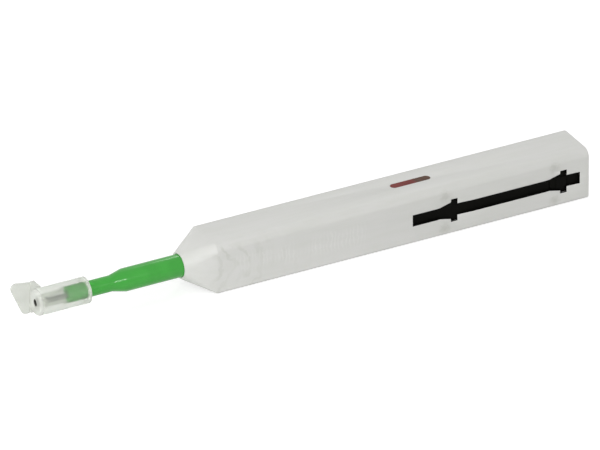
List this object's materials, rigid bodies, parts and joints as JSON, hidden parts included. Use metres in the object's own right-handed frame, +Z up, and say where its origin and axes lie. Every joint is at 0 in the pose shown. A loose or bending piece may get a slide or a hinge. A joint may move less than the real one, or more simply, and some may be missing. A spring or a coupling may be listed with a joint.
{
  "type": "fibre connector cleaning pen",
  "caption": "Push-type cleaning pen for fibre ferrules: square milky sleeve with a latch slot, stepped green nozzle and a frosted guide cap with a swinging lid.",
  "frame": {"origin": "middle of the pen's bounding box, on the flat underside of the sleeve", "axes": "+X along the pen from the tip to the rear end, +Y to the side away from the latch slot, +Z up through the side with the window"},
  "size_m": [0.2224, 0.019, 0.019],
  "materials": {
    "sleeve_plastic": "milky moulded plastic with a soft sheen",
    "frosted_plastic": "frosted see-through plastic",
    "tinted_plastic": "red tinted plastic, brown toward the rear end",
    "green_plastic": "smooth moulded plastic",
    "black_plastic": "fine grained moulded plastic",
    "white_plastic": "plain moulded plastic",
    "red_plastic": "smooth moulded plastic",
    "brown_plastic": "smooth moulded plastic",
    "red_tape": "wound woven tape",
    "brown_tape": "wound woven tape",
    "white_tape": "fine woven tape",
    "steel": "drawn steel"
  },
  "bodies": {
    "case": {"outer_sleeve": "sleeve_plastic", "rear_plug": "sleeve_plastic", "window_pane": "tinted_plastic"},
    "chassis": {"chassis_frame": "black_plastic", "chassis_cover": "black_plastic", "cover_screws": "steel", "feed_rack": "black_plastic", "cam_pin": "steel", "return_spring": "steel", "latch_spring": "steel"},
    "latch": {"latch_button": "black_plastic"},
    "shuttle": {"shuttle_frame": "black_plastic", "nozzle": "green_plastic", "supply_axle": "steel", "take_up_axle": "steel"},
    "shaft": {"cam_shaft": "white_plastic", "tip_spring": "steel"},
    "tip": {"feed_tube": "steel", "tube_collar": "steel", "cleaning_tip": "white_plastic", "cleaning_tape": "white_tape"},
    "supply": {"supply_reel": "red_plastic", "supply_tape": "red_tape"},
    "take_up": {"take_up_reel": "brown_plastic", "take_up_tape": "brown_tape", "drive_gear": "white_plastic"},
    "cap": {"guide_cap": "frosted_plastic"},
    "lid": {"cap_lid": "frosted_plastic"}
  },
  "joints": [
    {"name": "chassis_extension", "type": "slide", "parent": "case", "child": "chassis", "axis": [-1, 0, 0], "range_m": [0, 0.0437]},
    {"name": "push_stroke", "type": "slide", "parent": "chassis", "child": "shuttle", "axis": [1, 0, 0], "range_m": [0, 0.01], "stiffness_N_per_m": 300, "springref_m": -0.006, "deforming": ["return_spring"]},
    {"name": "latch_press", "type": "slide", "parent": "chassis", "child": "latch", "axis": [0, 1, 0], "range_m": [0, 0.0015], "stiffness_N_per_m": 600, "springref_m": -0.001, "deforming": ["latch_spring"]},
    {"name": "tip_turn", "type": "hinge", "parent": "shuttle", "child": "shaft", "pos_m": [0.01432, 0, 0.0095], "axis": [1, 0, 0], "range_deg": [0, 180], "deforming": ["cleaning_tape"]},
    {"name": "tip_press", "type": "slide", "parent": "shaft", "child": "tip", "axis": [1, 0, 0], "range_m": [0, 0.0015], "stiffness_N_per_m": 300, "springref_m": -0.003, "deforming": ["tip_spring"]},
    {"name": "supply_turn", "type": "hinge", "parent": "shuttle", "child": "supply", "pos_m": [0.04022, 0, 0.0095], "axis": [0, 1, 0], "range_deg": [0, 75.72]},
    {"name": "take_up_turn", "type": "hinge", "parent": "shuttle", "child": "take_up", "pos_m": [0.05342, 0, 0.0095], "axis": [0, 1, 0], "range_deg": [0, 114.6]},
    {"name": "cap_pull", "type": "slide", "parent": "shuttle", "child": "cap", "axis": [-1, 0, 0], "range_m": [0, 0.03]},
    {"name": "lid_swing", "type": "hinge", "parent": "cap", "child": "lid", "pos_m": [-0.10423, 0.0036, 0.0095], "axis": [0, 0, 1], "range_deg": [0, 90]}
  ],
  "couplings": [
    {"joint": "tip_turn", "follows": "push_stroke", "rad_per_m": 314.16},
    {"joint": "supply_turn", "follows": "push_stroke", "rad_per_m": 132.14},
    {"joint": "take_up_turn", "follows": "push_stroke", "rad_per_m": 200}
  ]
}
